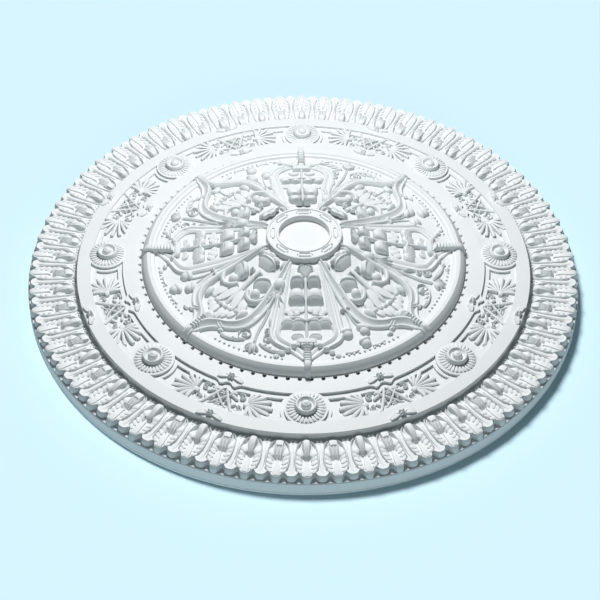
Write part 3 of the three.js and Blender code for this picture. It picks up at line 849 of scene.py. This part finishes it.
# The tulip fields: between the frames, four sprigs of three tulips on thin stems, tied with two beads
# and cast on the dish. Each tulip is a domed cap over a cup that draws in to a point.
TULIP_STEM = ((3, 266, 0), (5, 296, 0), (12, 326, 0))
TULIP_LEAF = ((16, 388, 0), (36, 390, 0), (58, 384, 0))
# The tulips' places, as (across, outward, heading).
TULIPS = ((-25, 322, -4), (25, 328, -34), (5, 364, 8))
bm = bmesh.new()
for across, outward, heading in TULIPS:
    lobe(bm, (across, outward - 9), heading, length=22, width=36, height=15, around=12)
    lobe(bm, (across, outward + 4), heading, length=23, width=35, height=15, lift=(3, -4), taper=0.3,
         around=12)
for side in (-1, 1):
    boss(bm, side * 7.5, 262, size=14, height=14)
    strand(bm, on_side(TULIP_STEM, side), width=5, height=6)
    strand(bm, on_side(TULIP_LEAF, side), width=6, height=5)
drape(bm)
ring(bm, SECTORS // 2, SECTOR / 2 + DISH_TURN)
cast(bm, "tulip_carving")

# The running scrolls: in the other four fields, a bud and a spray of pointed leaves on a double stem
# that carries curls, leaves that lie along the rim, and a palmette flower. They are cast on the dish.
FIELD_STEM = ((4, 246, 1), (5, 290, 1), (3, 330, 1), (8, 372, 1))
FIELD_CURL = {"start": math.radians(50), "step": math.radians(42), "shrink": 0.06, "count": 12}
# Each curl is (middle, 1 or -1 for the way that it winds, reach), and the two large ones have an eye.
FIELD_CURLS = (((-24, 347), -1, 19), ((36, 342), 1, 17), ((25, 321), 1, 8))
RIM_BRANCH = ((16, 360, 0), (40, 371, 0), (66, 374, 0), (84, 366, 0))
bm = bmesh.new()
lobe(bm, (2, 164), 0, length=38, width=34, height=21, lift=(0, 3), around=12, along=8)
husk(bm, 2, crest=190, width=31, height=18, lip=14, run=20)
for lean in (-1, 0, 1):
    lobe(bm, (2 + lean * 10, 198), lean * 8, length=24, width=10, height=9, lift=(4, 0), taper=0.8)
for lean in range(-3, 4):
    lobe(bm, (3 + lean * 3, 208), lean * 11, length=56 - 5 * abs(lean), width=9, height=8, lift=(5, 1),
         taper=0.75, curl=lean * 3)
for lean in (-2, 2):
    strand(bm, [(lean + across, outward, up) for across, outward, up in FIELD_STEM], width=4.5, height=5)
for middle, way, reach in FIELD_CURLS:
    strand(bm, spiral(middle, (way, 1), reach, **FIELD_CURL), width=5.5, height=8, ends=(1.1, 0.7),
           stations=24)
for middle, _, _ in FIELD_CURLS[:2]:
    boss(bm, *middle, size=10, height=9)
lobe(bm, (16, 276), 18, length=34, width=13, height=12, taper=0.4)
lobe(bm, (-10, 280), -30, length=34, width=13, height=10, taper=0.4, groove=2)
for side in (-1, 1):
    strand(bm, on_side(RIM_BRANCH, side), width=7, height=8)
    for i in range(4):
        lobe(bm, (side * (24 + 14 * i), 366 + 2 * i), side * (118 - 8 * i), length=18, width=9, height=8,
             groove=1.5)
for lean in range(-2, 3):
    lobe(bm, (8, 370), lean * 24, length=31 - 3 * abs(lean), width=12, height=13, lift=(2, 0))
drape(bm)
ring(bm, SECTORS // 2, SECTOR * 1.5 + DISH_TURN)
cast(bm, "running_scrolls")

# The hub frames: eight flat frames raised on the sunk top of the hub, round the seat for the canopy,
# and cast with it.
HUB_FRAME_INNER, HUB_FRAME_OUTER, HUB_FRAME_CIRCLE = 80.0, 91.0, 85.0
HUB_FRAME_HALF = 0.225 * HUB_FRAME_CIRCLE
HUB_FRAME_BAND = 3.6
bm = bmesh.new()
for radius in (HUB_FRAME_INNER, HUB_FRAME_OUTER):
    side_to_side = [(across, radius, HUB_SINK_Z) for across in (-HUB_FRAME_HALF, 0, HUB_FRAME_HALF)]
    strand(bm, side_to_side, HUB_FRAME_BAND, HUB_FRAME_BAND, stations=8)
hub_frame_middle = (HUB_FRAME_INNER + HUB_FRAME_OUTER) / 2
for side in (-1, 1):
    end = [(side * HUB_FRAME_HALF, radius, HUB_SINK_Z)
           for radius in (HUB_FRAME_INNER, hub_frame_middle, HUB_FRAME_OUTER)]
    strand(bm, end, HUB_FRAME_BAND, HUB_FRAME_BAND, stations=4)
wrap(bm, HUB_FRAME_CIRCLE)
ring(bm, SECTORS, DISH_TURN)
cast(bm, "hub_frames")
